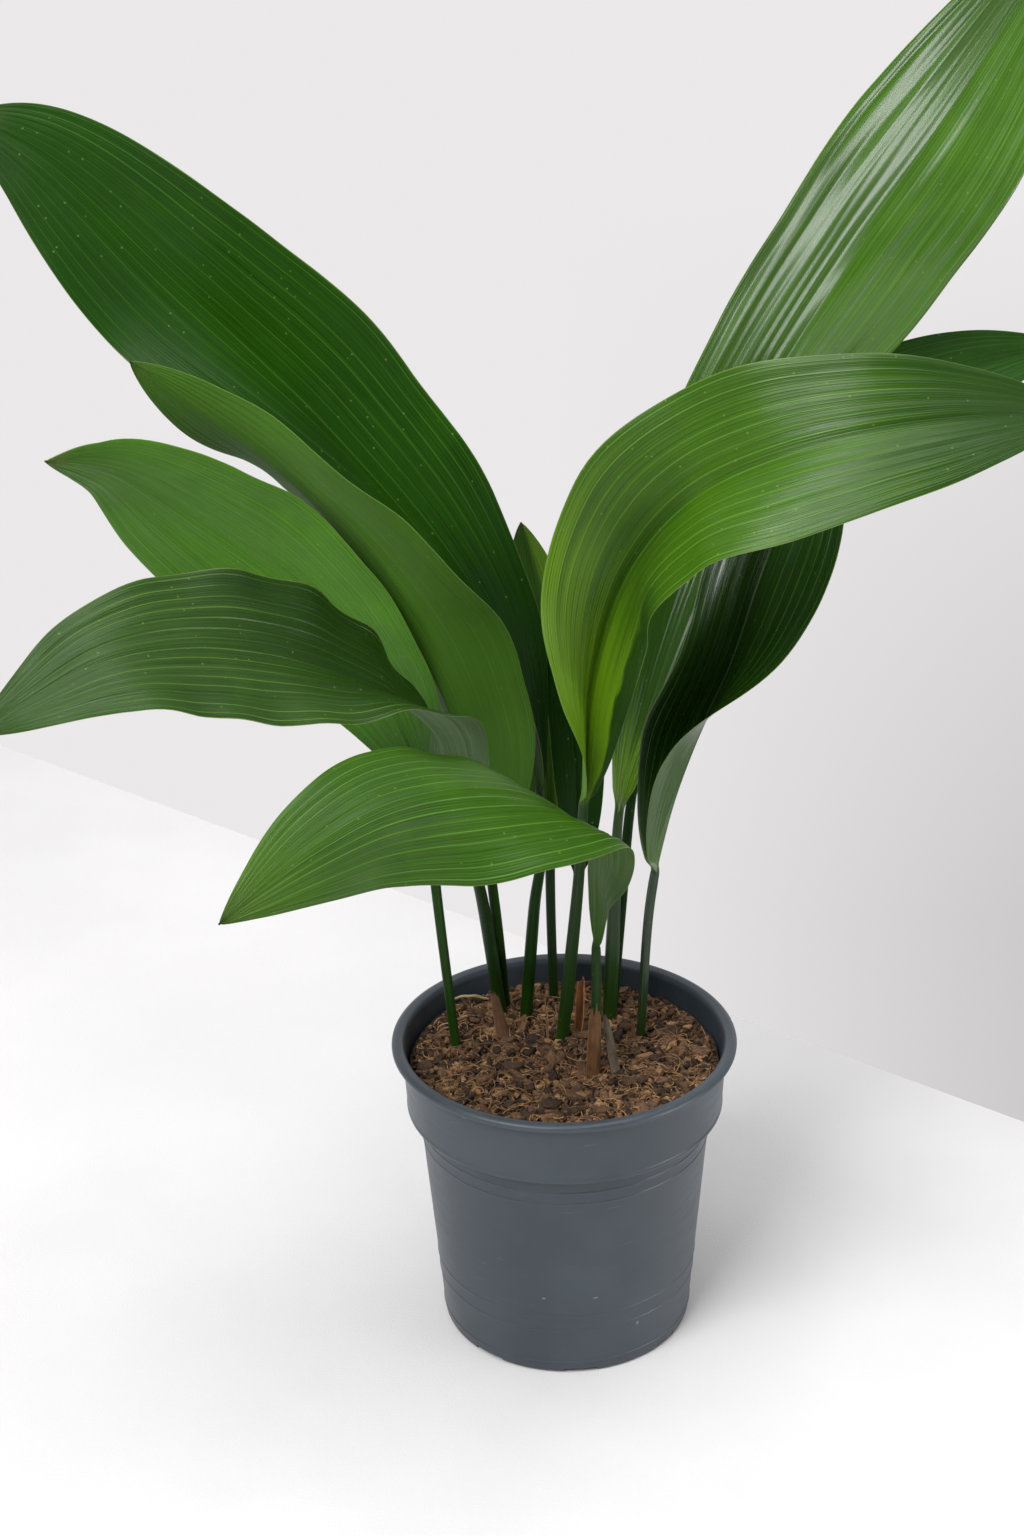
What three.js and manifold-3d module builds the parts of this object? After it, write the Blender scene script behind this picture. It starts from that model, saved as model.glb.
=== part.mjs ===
// A potted cast iron plant: eleven broad leaves on long stalks, rising one by one
// from the soil of a plastic nursery pot. Millimetres, +Z up, the origin at the
// middle of the pot's underside. The plant is seen from the front along +Y.
import * as THREE from 'three';
import { mergeVertices } from 'three/addons/utils/BufferGeometryUtils.js';
import Module from 'manifold-3d';

const wasm = await Module();
wasm.setup();

// ---- Driving dimensions -------------------------------------------------

const GAP = 0.3; // clearance between pieces that touch
const FINEST = 0.02; // cuts leave no edge shorter than this

const POT = {
  height: 157,
  rimRadius: 85,
  lipHeight: 5,
  collarTopRadius: 79.8,
  collarFootRadius: 78.2,
  collarFootHeight: 121,
  bodyTopRadius: 72.6,
  footRadius: 62.5,
  wall: 1.6,
  floor: 4,
  cornerRadius: 1.4,
  lipRound: 1.6,
  sides: 44,
};

const DRAINS = {
  count: 8,
  width: 17,
  height: 2.4,
  innerRadius: 46,
  holeRadius: 4,
  holeAt: 53,
  firstAngle: -84, // degrees, the notch that shows at the front
};

const SOIL = {
  edgeHeight: 144,
  crown: 2.5, // how far the middle rises over the edge
  lump: 1.3,
  rings: 8,
  holeDepth: 24,
  holeClearance: 0.35,
};

const BLADE = {
  thickness: 0.7,
  keel: 1.1, // how far the midrib stands out under the blade
  petioleRadius: 2.5,
  tipRadius: 0.45,
  stalkSteps: 4,
  stepLength: 20, // of blade between cross-sections
};

// Each leaf: the line of its stalk and midrib from the soil to the tip, the way
// its upper face looks, the stalk's length, the blade's greatest half width, the
// powers of its outline towards stalk and tip, then along the blade its roll and
// the lift of its halves in degrees, the curl of the left and right half, and
// the waves of its margin: how many, how deep, and where they start.
const LEAVES = {
  leaf_high_left: {
    line: [[-19, 37, 145], [-14, 40, 205], [-9, 42, 255], [-35, 44, 354], [-101, 46, 448],
      [-171, 48, 521], [-226, 51, 576], [-258, 52, 596]],
    face: [0.1, -1, 0.3], stalk: 115, half: 48, rise: 1.0, fall: 0.68,
    roll: [70, 52, 32, 0, 0], lift: [40, 34, 20, 12], curl: [12, 3],
    wave: { count: 5, depth: 1.6, phase: 0.4 },
  },
  leaf_curled_tip: {
    line: [[-54, 11, 145], [-61, 8, 234], [-65, 20, 282], [-81, 21, 330], [-118, 9, 387],
      [-157, -11, 428], [-187, -35, 458], [-202, -46, 466], [-216, -58, 471]],
    face: [0, -1, 0.5], stalk: 118, half: 42, rise: 1.08, fall: 0.88,
    roll: [-20, -25, -36, -44, -70], lift: [16, 23, 11, -6], curl: [-7, -14],
    wave: { count: 5, depth: 1.2, phase: 2.0 },
  },
  leaf_keeled: {
    line: [[-30, 50, 145], [-34, 40, 211], [-41, 28, 278], [-53, 17, 325], [-72, 8, 372],
      [-102, -2, 423], [-129, -10, 455], [-154, -15, 478], [-183, -22, 504]],
    face: [0.3, 1, 0.3], stalk: 86, half: 46, rise: 0.8, fall: 0.85,
    roll: [-12, -15, -30, -30, 5], lift: [24, 30, 14, 3], curl: [0, 0],
    wave: { count: 5, depth: 1.6, phase: 1.0 },
  },
  leaf_low_left: {
    line: [[-32, 43, 145], [-41, 33, 222], [-48, 14, 261], [-52, -5, 299], [-56, -26, 329],
      [-70, -43, 352], [-94, -61, 373], [-125, -87, 394], [-156, -113, 407], [-183, -137, 411],
      [-208, -150, 402], [-234, -157, 388]],
    face: [0, -1, 0.6], stalk: 125, half: 38, rise: 1.0, fall: 0.88,
    roll: [190, 100, 34, 14, 14], lift: [30, 22, 6, 4], curl: [0, 0],
    wave: { count: 8, depth: 1.8, phase: 0.0 },
  },
  leaf_front: {
    line: [[15, -18, 145], [16, -15, 182], [16, -14, 216], [16, -20, 245], [15, -32, 271],
      [7, -50, 295], [-10, -77, 319], [-40, -108, 336], [-72, -133, 340], [-99, -152, 333],
      [-124, -168, 321], [-139, -176, 312]],
    face: [0, -1, 0.8], stalk: 62, half: 38.5, rise: 0.95, fall: 0.9,
    roll: [110, 90, 31, -15, -30], lift: [10, 10, -14, 10], curl: [-15, -22],
    wave: { count: 6, depth: 1.4, phase: 0.8 },
  },
  leaf_high_right: {
    line: [[23, 32, 145], [26, 40, 210], [29, 46, 260], [44, 55, 320], [67, 66, 390],
      [96, 77, 458], [136, 86, 522], [176, 94, 577], [211, 104, 630], [240, 110, 677]],
    face: [0, -1, 0.4], stalk: 100, half: 49, rise: 1.1, fall: 0.7,
    roll: [13, 22, 40, 20, 25], lift: [11, 0, 15, 26], curl: [0, -5],
    wave: { count: 5, depth: 1.4, phase: 0.3 },
  },
  leaf_arching: {
    line: [[-1, 12, 145], [8, 14, 235], [11, 14, 282], [14, 8, 337], [31, -14, 401],
      [58, -42, 445], [93, -64, 470], [130, -72, 482], [173, -66, 486], [218, -52, 484]],
    face: [-0.2, -1, 0.5], stalk: 124, half: 43, rise: 0.96, fall: 0.84,
    roll: [48, 10, -20, -12, -14], lift: [66, 46, 16, 12], curl: [4, -16],
    wave: { count: 6, depth: 1.6, phase: 2.6 },
  },
  leaf_low_right: {
    line: [[38, 15, 145], [43, 23, 218], [50, 27, 254], [64, 36, 294], [82, 42, 336],
      [94, 46, 374], [108, 49, 414], [118, 52, 443], [124, 62, 467]],
    face: [-0.2, -1, 0.5], stalk: 83, half: 41, rise: 1.03, fall: 0.84,
    roll: [-60, -32, 5, 14, 12], lift: [60, 60, 32, 24], curl: [20, 22],
    wave: { count: 4, depth: 1.2, phase: 0.5 },
  },
  leaf_back_right: {
    line: [[25, 46, 145], [30, 50, 205], [35, 62, 255], [45, 76, 298], [64, 90, 343],
      [90, 102, 386], [123, 110, 419], [161, 115, 441], [198, 118, 456], [246, 120, 468]],
    face: [-0.2, -1, 0.6], stalk: 105, half: 32, rise: 1.05, fall: 0.8,
    roll: [0, 5, 10, 15, 15], lift: [30, 24, 20, 14], curl: [5, 5],
    wave: { count: 5, depth: 1.2, phase: 1.5 },
  },
  leaf_back: {
    line: [[-5, 55, 145], [-6, 64, 198], [-6, 82, 246], [-7, 100, 282], [-9, 118, 319],
      [-14, 132, 349], [-19, 142, 374]],
    face: [0, -1, 0.3], stalk: 75, half: 20, rise: 0.95, fall: 0.8,
    roll: [0, 0, 0, 0, 0], lift: [24, 20, 16, 12], curl: [0, 0],
    wave: { count: 3, depth: 0.8, phase: 0.0 },
  },
  leaf_young: {
    line: [[2, 36, 145], [7, 40, 210], [9, 44, 242], [9, 50, 271], [7, 56, 301],
      [1, 60, 327], [-7, 62, 347]],
    face: [0, -1, 0.3], stalk: 72, half: 14, rise: 0.9, fall: 0.75,
    roll: [0, 0, 0, 0, 0], lift: [28, 24, 20, 12], curl: [0, 0],
    wave: { count: 3, depth: 0.6, phase: 1.0 },
  },
};

// Papery remains of old stalks and bud scales: foot on the soil, tip, width at
// the foot and at the tip, the way the hollow side looks, and how far it curls.
const SHEATHS = {
  sheath_left: {
    foot: [-28, 12, 140], tip: [-35, 20, 171], widths: [10, 4], face: [-0.2, 1, 0.2], curl: 70,
  },
  sheath_orange: {
    foot: [8, 18, 140], tip: [10, 23, 174], widths: [7, 10], face: [-1, -0.3, 0.1], curl: 50,
  },
  sheath_thin: {
    foot: [-8, 10, 140], tip: [-9, 12, 169], widths: [3, 2.4], face: [1, 0.2, 0], curl: 60,
  },
  sheath_front: {
    foot: [14, -24, 140], tip: [15, -22, 182], widths: [9, 6], face: [0.1, 1, 0], curl: 75,
  },
  sheath_stub: {
    foot: [27, -20, 140], tip: [20, -10, 173], widths: [6, 4], face: [-0.4, 1, 0], curl: 60,
  },
  sheath_right: {
    foot: [35, 11, 140], tip: [34, 13, 156], widths: [4, 2.4], face: [0.8, 0.6, 0], curl: 60,
  },
};

const SHEATH = {
  thickness: 0.8,
  twist: 14, // degrees, to one side and back along its length
  steps: 6,
};

const TWIG = {
  line: [[-60, 48, 148.5], [-53, 50, 150], [-45, 50, 150.5], [-38, 49, 149]],
  radius: 0.7,
  steps: 10,
  sides: 6,
};

const COLOURS = {
  pot: 0x39424b,
  soil: 0x3a2618,
  leaf: 0x2c6416,
  sheath: 0x8a5a30,
  twig: 0xa98e5f,
};

// ---- Small helpers ------------------------------------------------------

const radians = THREE.MathUtils.degToRad;
const mix = THREE.MathUtils.lerp;
const vector = (p) => new THREE.Vector3(...p);

// A repeatable draw from 0 to 1 for a whole number.
function draw(n) {
  const x = Math.sin(n * 127.1 + 11.7) * 43758.5453;
  return x - Math.floor(x);
}

// The geometry as a solid that booleans can work on.
function toSolid(geometry) {
  const bare = geometry.clone();
  bare.deleteAttribute('normal');
  bare.deleteAttribute('uv');
  const merged = mergeVertices(bare, 1e-3);
  return new wasm.Manifold(new wasm.Mesh({
    numProp: 3,
    vertProperties: Float32Array.from(merged.attributes.position.array),
    triVerts: Uint32Array.from(merged.index.array),
  }));
}

function fromSolid(solid) {
  const mesh = solid.simplify(FINEST).getMesh();
  const geometry = new THREE.BufferGeometry();
  geometry.setAttribute('position', new THREE.BufferAttribute(mesh.vertProperties, 3));
  geometry.setIndex(new THREE.BufferAttribute(mesh.triVerts, 1));
  geometry.computeVertexNormals();
  return geometry;
}

// A closed body from rings of points, each ring one loop, with flat ends. Every
// four-sided patch is split alike round the loop, so both faces of a thin blade
// have the same triangles.
function loft(rings) {
  const size = rings[0].length;
  const positions = rings.flat().flatMap((p) => [p.x, p.y, p.z]);
  const index = [];
  const half = size / 2;
  for (let r = 0; r + 1 < rings.length; r += 1) {
    for (let i = 0; i < size; i += 1) {
      const a = r * size + i;
      const b = r * size + ((i + 1) % size);
      const [c, d] = [a + size, b + size];
      if (i < half) index.push(a, b, c, b, d, c);
      else index.push(a, b, d, a, d, c);
    }
  }
  for (let i = 1; i + 1 < size; i += 1) {
    index.push(0, i + 1, i);
    const end = (rings.length - 1) * size;
    index.push(end, end + i, end + i + 1);
  }
  const geometry = new THREE.BufferGeometry();
  geometry.setAttribute('position', new THREE.Float32BufferAttribute(positions, 3));
  geometry.setIndex(index);
  geometry.computeVertexNormals();
  return geometry;
}

// A smooth value along 0..1 through evenly spaced stations.
function along(values, t) {
  const last = values.length - 1;
  const at = Math.min(Math.floor(t * last), last - 1);
  const f = t * last - at;
  const pick = (i) => values[THREE.MathUtils.clamp(i, 0, last)];
  const [a, b, c, d] = [pick(at - 1), pick(at), pick(at + 1), pick(at + 2)];
  const linear = c - a;
  const square = 2 * a - 5 * b + 4 * c - d;
  const cube = 3 * b - a - 3 * c + d;
  return 0.5 * (2 * b + linear * f + square * f ** 2 + cube * f ** 3);
}

// ---- Pot ----------------------------------------------------------------

function bodyRadius(height) {
  return mix(POT.footRadius, POT.bodyTopRadius, height / POT.collarFootHeight);
}

// The half section of the pot, from the axis under the floor, up the outside,
// over the lip and down the inside to the axis again.
function potProfile() {
  const { height, rimRadius, lipHeight, lipRound, wall, floor, cornerRadius } = POT;
  const { collarTopRadius, collarFootRadius, collarFootHeight, bodyTopRadius, footRadius } = POT;
  const lipFoot = height - lipHeight;
  const points = [[0, 0]];
  points.push([footRadius - cornerRadius, 0]);
  points.push([bodyRadius(cornerRadius), cornerRadius]);
  points.push([bodyTopRadius, collarFootHeight - wall]);
  points.push([collarFootRadius - wall / 2, collarFootHeight - wall / 2]);
  points.push([collarFootRadius, collarFootHeight + wall / 2]);
  points.push([collarTopRadius, lipFoot]);
  points.push([rimRadius - lipRound, lipFoot]);
  points.push([rimRadius, lipFoot + lipRound * 0.75]);
  points.push([rimRadius, height - lipRound]);
  points.push([rimRadius - lipRound * 0.8, height - lipRound * 0.125]);
  points.push([rimRadius - lipRound * 1.9, height]);
  points.push([collarTopRadius - wall + lipRound * 0.6, height - lipRound * 0.5]);
  points.push([collarTopRadius - wall, height - lipRound * 1.9]);
  points.push([collarFootRadius - wall, collarFootHeight + wall * 1.5]);
  points.push([bodyTopRadius - wall, collarFootHeight]);
  points.push([bodyRadius(floor) - wall, floor]);
  points.push([0, floor]);
  return points.map(([r, z]) => new THREE.Vector2(r, z));
}

// A lathe turns round Y, so its result is stood up along Z.
function turned(profile, sides) {
  return new THREE.LatheGeometry(profile, sides).rotateX(Math.PI / 2);
}

function drainCutter(angle) {
  const reach = POT.footRadius + 4 - DRAINS.innerRadius;
  const notch = new THREE.BoxGeometry(reach, DRAINS.width, DRAINS.height * 2);
  notch.translate(DRAINS.innerRadius + reach / 2, 0, 0);
  const hole = new THREE.CylinderGeometry(DRAINS.holeRadius, DRAINS.holeRadius, POT.floor * 4, 16);
  hole.rotateX(Math.PI / 2).translate(DRAINS.holeAt, 0, 0);
  const turn = new THREE.Matrix4().makeRotationZ(radians(angle));
  notch.applyMatrix4(turn);
  hole.applyMatrix4(turn);
  return toSolid(notch).add(toSolid(hole));
}

function buildPot() {
  let pot = toSolid(turned(potProfile(), POT.sides));
  for (let i = 0; i < DRAINS.count; i += 1) {
    pot = pot.subtract(drainCutter(DRAINS.firstAngle + (360 / DRAINS.count) * i));
  }
  return fromSolid(pot);
}

// ---- Leaves -------------------------------------------------------------

// Places along a leaf: the buried foot, the stalk, and the blade, closer
// together towards the blade's two ends.
function leafStations(length, stalk) {
  const places = [];
  for (let i = 0; i < BLADE.stalkSteps; i += 1) {
    places.push(stalk * (i / BLADE.stalkSteps));
  }
  const bladeSteps = Math.round((length - stalk) / BLADE.stepLength);
  for (let i = 0; i <= bladeSteps; i += 1) {
    const f = i / bladeSteps;
    const eased = mix(f, (1 - Math.cos(Math.PI * f)) / 2, 0.5);
    places.push(stalk + (length - stalk) * eased);
  }
  return places;
}

function bladeHalfWidth(leaf, t) {
  const widest = leaf.rise / (leaf.rise + leaf.fall);
  return leaf.half * (t / widest) ** leaf.rise * ((1 - t) / (1 - widest)) ** leaf.fall;
}

// The frame of the blade at one place: its middle, the way to its left, and the
// way its upper face looks, turned by the roll.
function bladeFrame(middle, heading, face, roll) {
  const normal = face.clone().addScaledVector(heading, -face.dot(heading)).normalize();
  const left = new THREE.Vector3().crossVectors(normal, heading);
  const [c, s] = [Math.cos(roll), Math.sin(roll)];
  return {
    middle,
    left: left.clone().multiplyScalar(c).addScaledVector(normal, s),
    up: normal.clone().multiplyScalar(c).addScaledVector(left, -s),
  };
}

function placed(frame, sideways, upwards) {
  return frame.middle.clone().addScaledVector(frame.left, sideways).addScaledVector(frame.up, upwards);
}

const ACROSS = [1, 0.62, 0.28, 0, -0.28, -0.62, -1]; // from the left margin to the right

// One loop round the stalk or blade: the upper face from left to right, then the
// lower face back. The round stalk flattens into the blade as the blade widens.
function leafLoop(leaf, frame, t) {
  const width = t > 0 ? bladeHalfWidth(leaf, t) : 0;
  const stalkRadius = mix(BLADE.petioleRadius, BLADE.tipRadius, t ** 0.7);
  const flat = THREE.MathUtils.smoothstep(width / stalkRadius, 1, 2.6);
  const lift = radians(along(leaf.lift, t)) * flat;
  const loop = [];
  for (const face of [1, -1]) {
    const order = face > 0 ? ACROSS : [...ACROSS].reverse();
    for (const [i, u] of order.entries()) {
      const angle = Math.PI * ((i + 0.5) / order.length);
      const round = face * Math.cos(angle);
      const out = mix(stalkRadius * round, Math.max(width, stalkRadius) * u, flat);
      const keel = u === 0 && face < 0 ? BLADE.keel * (1 - t) : 0;
      const depth = mix(stalkRadius * Math.sin(angle), BLADE.thickness / 2 + keel, flat);
      loop.push(bladePoint(leaf, frame, t, lift, flat, out, u, face * depth));
    }
  }
  return loop;
}

// A point of the blade, `out` mm to the left of the midrib along the curled half
// and `depth` mm above the blade's middle surface.
function bladePoint(leaf, frame, t, lift, flat, out, u, depth) {
  const side = Math.sign(out) || 1;
  const share = Math.abs(u);
  const curl = radians(leaf.curl[side > 0 ? 0 : 1]) * flat * share;
  const bow = curl === 0 ? 1 : Math.sin(curl / 2) / (curl / 2);
  const slope = lift + curl / 2;
  const { count, depth: waveDepth, phase } = leaf.wave;
  const swing = Math.sin(2 * Math.PI * count * t + phase + (side > 0 ? 0 : 1.9));
  const wave = waveDepth * swing * share ** 2 * flat * Math.sin(Math.PI * t);
  const across = Math.abs(out) * bow;
  const normalAngle = lift + curl;
  const sideways = side * (Math.cos(slope) * across - Math.sin(normalAngle) * depth);
  const upwards = Math.sin(slope) * across + Math.cos(normalAngle) * depth + wave;
  return placed(frame, sideways, upwards);
}

function leafCurve(leaf) {
  const curve = new THREE.CatmullRomCurve3(leaf.line.map(vector), false, 'centripetal');
  curve.arcLengthDivisions = 600;
  return curve;
}

function buildLeaf(leaf) {
  const curve = leafCurve(leaf);
  const length = curve.getLength();
  const face = vector(leaf.face);
  const rings = [];
  const first = curve.getTangentAt(0);
  const foot = vector(leaf.line[0]).addScaledVector(first, -SOIL.holeDepth);
  rings.push(leafLoop(leaf, bladeFrame(foot, first, face, radians(leaf.roll[0])), 0));
  for (const place of leafStations(length, leaf.stalk)) {
    const at = Math.min(place / length, 1);
    const t = THREE.MathUtils.clamp((place - leaf.stalk) / (length - leaf.stalk), 0, 1);
    const roll = radians(along(leaf.roll, t));
    const frame = bladeFrame(curve.getPointAt(at), curve.getTangentAt(at), face, roll);
    rings.push(leafLoop(leaf, frame, t));
  }
  return loft(rings);
}

// ---- Soil ---------------------------------------------------------------

function soilSurface(x, y) {
  const inward = 1 - Math.hypot(x, y) / POT.collarFootRadius;
  const swell = Math.sin(x * 0.11 + 1.3) * Math.cos(y * 0.13 - 0.4) + Math.sin(x * 0.23 - y * 0.19);
  return SOIL.edgeHeight + SOIL.crown * inward + swell * SOIL.lump * 0.5;
}

// The soil fills the pot inside its wall; its top is crumbly.
function soilBody() {
  const wall = POT.wall + GAP;
  const width = POT.collarFootRadius - wall;
  const points = [[0, POT.floor + GAP]];
  points.push([bodyRadius(POT.floor) - wall, POT.floor + GAP]);
  points.push([POT.bodyTopRadius - wall, POT.collarFootHeight + GAP]);
  points.push([width, POT.collarFootHeight + POT.wall * 1.5 + GAP * 2]);
  for (let i = SOIL.rings; i >= 0; i -= 1) {
    points.push([width * (i / SOIL.rings), SOIL.edgeHeight]);
  }
  const geometry = turned(points.map(([r, z]) => new THREE.Vector2(r, z)), POT.sides);
  geometry.deleteAttribute('normal');
  geometry.deleteAttribute('uv');
  const soil = mergeVertices(geometry, 1e-3);
  const position = soil.attributes.position;
  for (let i = 0; i < position.count; i += 1) {
    if (position.getZ(i) > SOIL.edgeHeight - 1) {
      const [x, y] = [position.getX(i), position.getY(i)];
      position.setZ(i, soilSurface(x, y) + (draw(i) - 0.5) * SOIL.lump);
    }
  }
  return soil;
}

// A plain round hole in the soil from `foot` on, along `heading`.
function hole(foot, heading, radius) {
  const length = SOIL.holeDepth * 1.5;
  const geometry = new THREE.CylinderGeometry(radius, radius, length, 12);
  const turn = new THREE.Quaternion().setFromUnitVectors(new THREE.Vector3(0, 1, 0), heading);
  const middle = foot.clone().addScaledVector(heading, length / 2 - SOIL.holeClearance);
  return geometry.applyQuaternion(turn).translate(middle.x, middle.y, middle.z);
}

function stalkHole(leaf) {
  const heading = leafCurve(leaf).getTangentAt(0);
  const foot = vector(leaf.line[0]).addScaledVector(heading, -SOIL.holeDepth);
  return hole(foot, heading, BLADE.petioleRadius + SOIL.holeClearance);
}

// A sheath's foot is an arc, so its hole is round the middle of that arc, with
// some room for the way the sheath opens as it rises.
function sheathHole(sheath) {
  const heading = vector(sheath.tip).sub(vector(sheath.foot)).normalize();
  const radius = sheath.widths[0] / 2 / radians(sheath.curl);
  const { up } = bladeFrame(vector(sheath.foot), heading, vector(sheath.face), 0);
  const middle = vector(sheath.foot).addScaledVector(up, radius);
  return hole(middle, heading, radius * 1.15 + SHEATH.thickness / 2 + SOIL.holeClearance);
}

function buildSoil() {
  let soil = toSolid(soilBody());
  const holes = [...Object.values(LEAVES).map(stalkHole), ...Object.values(SHEATHS).map(sheathHole)];
  for (const cut of holes) {
    soil = soil.subtract(toSolid(cut));
  }
  return fromSolid(soil);
}

// ---- Dry sheaths and the twig -------------------------------------------

// A thin scoop of dry leaf base, curled about its own length.
function buildSheath(sheath) {
  const [foot, tip] = [vector(sheath.foot), vector(sheath.tip)];
  const heading = tip.clone().sub(foot).normalize();
  const face = vector(sheath.face);
  const rings = [];
  for (let r = 0; r <= SHEATH.steps; r += 1) {
    const f = r / SHEATH.steps;
    const middle = foot.clone().lerp(tip, f);
    const frame = bladeFrame(middle, heading, face, radians(SHEATH.twist) * Math.sin(Math.PI * f));
    const half = mix(sheath.widths[0], sheath.widths[1], f) / 2;
    rings.push(sheathLoop(frame, half, radians(sheath.curl) * (1 - 0.4 * f)));
  }
  return loft(rings);
}

function sheathLoop(frame, half, curl) {
  const depth = SHEATH.thickness / 2;
  const radius = half / curl;
  const loop = [];
  for (const face of [1, -1]) {
    for (const u of face > 0 ? [1, 0.5, 0, -0.5, -1] : [-1, -0.5, 0, 0.5, 1]) {
      const angle = curl * u;
      const sideways = (radius - face * depth) * Math.sin(angle);
      const upwards = radius - (radius - face * depth) * Math.cos(angle);
      loop.push(placed(frame, sideways, upwards));
    }
  }
  return loop;
}

function buildTwig() {
  const curve = new THREE.CatmullRomCurve3(TWIG.line.map(vector));
  const rings = [];
  const up = new THREE.Vector3(0, 0, 1);
  for (let r = 0; r <= TWIG.steps; r += 1) {
    const at = r / TWIG.steps;
    const frame = bladeFrame(curve.getPointAt(at), curve.getTangentAt(at), up, 0);
    const ring = [];
    for (let i = 0; i < TWIG.sides; i += 1) {
      const angle = (2 * Math.PI * i) / TWIG.sides;
      ring.push(placed(frame, TWIG.radius * Math.cos(angle), TWIG.radius * Math.sin(angle)));
    }
    rings.push(ring);
  }
  return loft(rings);
}

// ---- The plant ----------------------------------------------------------

function addPiece(group, name, geometry, colour, roughness) {
  const material = new THREE.MeshStandardMaterial({ color: colour, roughness, metalness: 0 });
  const mesh = new THREE.Mesh(geometry, material);
  mesh.name = name;
  group.add(mesh);
}

function buildPlant() {
  const plant = new THREE.Group();
  plant.name = 'potted_cast_iron_plant';
  addPiece(plant, 'pot', buildPot(), COLOURS.pot, 0.45);
  addPiece(plant, 'soil', buildSoil(), COLOURS.soil, 0.95);
  for (const [name, leaf] of Object.entries(LEAVES)) {
    addPiece(plant, name, buildLeaf(leaf), COLOURS.leaf, 0.35);
  }
  for (const [name, sheath] of Object.entries(SHEATHS)) {
    addPiece(plant, name, buildSheath(sheath), COLOURS.sheath, 0.8);
  }
  addPiece(plant, 'twig', buildTwig(), COLOURS.twig, 0.8);
  return plant;
}

export default buildPlant();
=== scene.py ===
"""A potted cast iron plant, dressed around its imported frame.

Lengths are written in millimetres and scaled to metres when a mesh is made. +Z is up,
the origin is the middle of the pot's underside, and the camera looks along +Y.
"""
import math

import bpy
import numpy as np
from mathutils import Matrix, Vector


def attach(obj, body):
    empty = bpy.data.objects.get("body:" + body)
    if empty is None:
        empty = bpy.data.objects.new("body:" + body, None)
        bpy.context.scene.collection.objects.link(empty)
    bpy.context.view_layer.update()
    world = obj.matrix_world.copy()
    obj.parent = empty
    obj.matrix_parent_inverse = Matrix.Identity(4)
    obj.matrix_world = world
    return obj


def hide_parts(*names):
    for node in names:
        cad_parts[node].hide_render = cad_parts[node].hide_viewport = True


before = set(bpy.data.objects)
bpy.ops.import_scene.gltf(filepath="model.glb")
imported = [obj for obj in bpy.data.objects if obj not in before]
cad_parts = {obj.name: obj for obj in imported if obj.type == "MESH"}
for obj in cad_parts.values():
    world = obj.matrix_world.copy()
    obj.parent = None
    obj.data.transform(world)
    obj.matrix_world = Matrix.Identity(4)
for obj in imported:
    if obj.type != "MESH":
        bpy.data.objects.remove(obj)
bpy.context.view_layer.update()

MM = 0.001
SEED = 4906

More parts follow.
